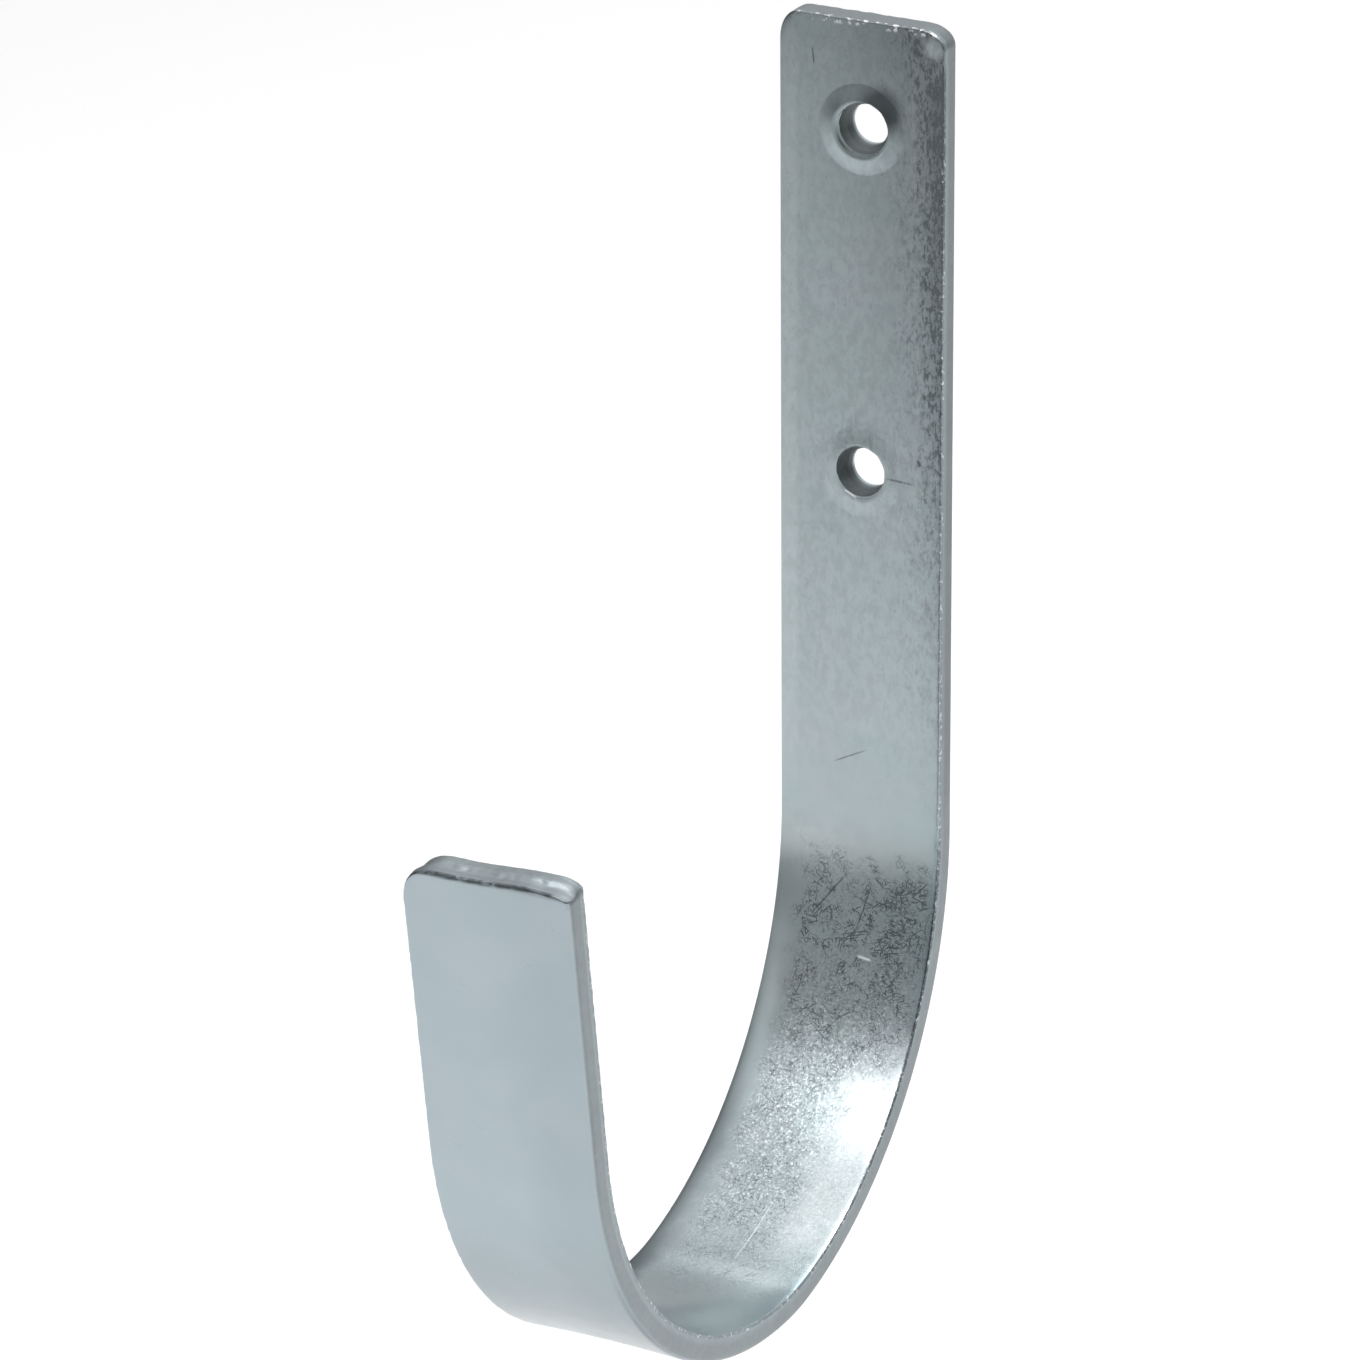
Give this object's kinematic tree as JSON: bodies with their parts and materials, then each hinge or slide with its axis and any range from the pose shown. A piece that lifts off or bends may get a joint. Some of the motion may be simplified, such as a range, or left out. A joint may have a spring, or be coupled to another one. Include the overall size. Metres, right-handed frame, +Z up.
{
  "type": "utility hook",
  "caption": "J-shaped wall hook bent from one flat steel strip, with two punched screw holes in its back plate, for hanging hoses, cables and tools.",
  "frame": {"origin": "on the wall face of the back plate, midway between the two screw holes", "axes": "+Z up along the back plate, +Y out of its wall face into the wall, +X across the strip; the hook reaches towards -Y"},
  "size_m": [0.025, 0.1107, 0.1729],
  "materials": {
    "hook": "satin, zinc plated over as-rolled steel"
  },
  "bodies": {
    "root": {"hook": "hook"}
  },
  "joints": []
}
